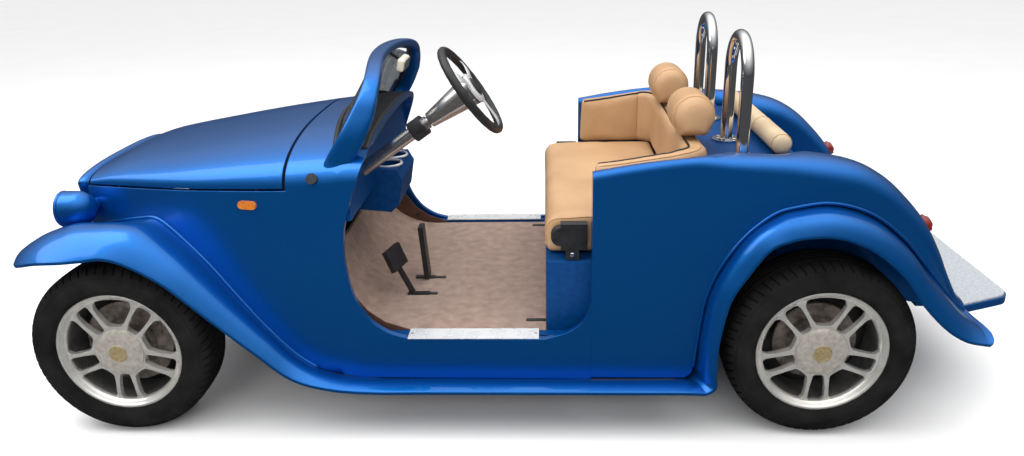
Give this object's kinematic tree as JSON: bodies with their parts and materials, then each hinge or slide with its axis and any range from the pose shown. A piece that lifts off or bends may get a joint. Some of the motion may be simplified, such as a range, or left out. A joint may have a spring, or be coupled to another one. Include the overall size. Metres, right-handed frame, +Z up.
{
  "type": "open-top roadster golf car",
  "caption": "Open-top vintage-roadster-bodied electric golf car with flowing fenders, bench seat, roll hoops, bag well and rear step.",
  "frame": {"origin": "middle of the length and width, on the ground between the tyres", "axes": "+X forwards to the nose, +Y to the left side, +Z up"},
  "size_m": [2.792, 1.1708, 1.0564],
  "materials": {
    "paint": "gloss metallic blue gelcoat on fibreglass",
    "chassis_black": "satin black",
    "cast_grey": "cast and machined",
    "battery": "plain case",
    "carpet": "short pile",
    "brown_trim": "fine grain",
    "bright_plate": "brushed",
    "chrome": "polished",
    "tread_plate": "stippled",
    "glass": "clear",
    "mirror_shell": "gloss",
    "black_plastic": "fine grain",
    "vinyl": "soft grain vinyl",
    "clear_lens": "clear",
    "amber_lens": "moulded lens",
    "red_lens": "moulded lens",
    "tyre": "worn rubber",
    "alloy": "painted silver"
  },
  "bodies": {
    "chassis": {"front_body": "paint", "nose": "paint", "fender_left": "paint", "fender_right": "paint", "quarter_left": "paint", "quarter_right": "paint", "rear_deck": "paint", "step_ledge": "paint", "windshield_frame": "paint", "dash": "paint", "console": "paint", "seat_box": "paint", "sill_beams": "paint", "headlamp_shells": "paint", "frame": "chassis_black", "front_axle": "chassis_black", "front_springs": "chassis_black", "rear_springs": "chassis_black", "rear_axle": "cast_grey", "drive_motor": "cast_grey", "battery_pack": "battery", "floor": "carpet", "kick_panels": "brown_trim", "sill_plates": "bright_plate", "grille": "chrome", "roll_hoops": "chrome", "steering_column": "chrome", "step_plate": "tread_plate", "windshield_glass": "glass", "mirror": "mirror_shell", "column_switch": "black_plastic", "brake_pedal": "black_plastic", "accelerator": "black_plastic", "belt_retractors": "black_plastic", "cowl_plugs": "black_plastic", "hood_buffers": "black_plastic", "seat_cushion": "vinyl", "seat_back": "vinyl", "headrests": "vinyl", "bag_roll": "vinyl", "headlamp_lenses": "clear_lens", "side_lamps": "amber_lens", "tail_lamps": "red_lens"},
    "hood": {"hood": "paint"},
    "steering": {"steering_wheel": "black_plastic", "steering_hub": "alloy"},
    "tie_rod": {"tie_rod": "cast_grey"},
    "knuckle_left": {"knuckle_left": "cast_grey"},
    "knuckle_right": {"knuckle_right": "cast_grey"},
    "road_wheel_front_left": {"tyre_front_left": "tyre", "wheel_front_left": "alloy"},
    "road_wheel_front_right": {"tyre_front_right": "tyre", "wheel_front_right": "alloy"},
    "road_wheel_rear_left": {"tyre_rear_left": "tyre", "wheel_rear_left": "alloy"},
    "road_wheel_rear_right": {"tyre_rear_right": "tyre", "wheel_rear_right": "alloy"}
  },
  "joints": [
    {"name": "steer_left", "type": "hinge", "parent": "chassis", "child": "knuckle_left", "pos_m": [1.116, 0.372, 0.252], "axis": [0, 0, 1], "range_deg": [-30, 30]},
    {"name": "steer_right", "type": "hinge", "parent": "chassis", "child": "knuckle_right", "pos_m": [1.116, -0.372, 0.252], "axis": [0, 0, 1], "range_deg": [-30, 30]},
    {"name": "steering_turn", "type": "hinge", "parent": "chassis", "child": "steering", "pos_m": [0.148, 0.25, 0.905], "axis": [-0.8192, 0, 0.5736], "range_deg": [-270, 270]},
    {"name": "tie_rod_slide", "type": "slide", "parent": "chassis", "child": "tie_rod", "axis": [0, 1, 0], "range_m": [-0.06, 0.06]},
    {"name": "hood_lift", "type": "hinge", "parent": "chassis", "child": "hood", "pos_m": [1.257, 0, 0.695], "axis": [0, 1, 0], "range_deg": [0, 55]},
    {"name": "spin_front_left", "type": "hinge", "parent": "knuckle_left", "child": "road_wheel_front_left", "pos_m": [1.116, 0.482, 0.252], "axis": [0, 1, 0], "continuous": true},
    {"name": "spin_front_right", "type": "hinge", "parent": "knuckle_right", "child": "road_wheel_front_right", "pos_m": [1.116, -0.482, 0.252], "axis": [0, 1, 0], "continuous": true},
    {"name": "spin_rear_left", "type": "hinge", "parent": "chassis", "child": "road_wheel_rear_left", "pos_m": [-0.784, 0.482, 0.252], "axis": [0, 1, 0], "continuous": true},
    {"name": "spin_rear_right", "type": "hinge", "parent": "chassis", "child": "road_wheel_rear_right", "pos_m": [-0.784, -0.482, 0.252], "axis": [0, 1, 0], "continuous": true}
  ],
  "couplings": [
    {"joint": "steer_right", "follows": "steer_left", "ratio": 1},
    {"joint": "steering_turn", "follows": "steer_left", "ratio": 9},
    {"joint": "tie_rod_slide", "follows": "steer_left", "m_per_rad": -0.11}
  ]
}
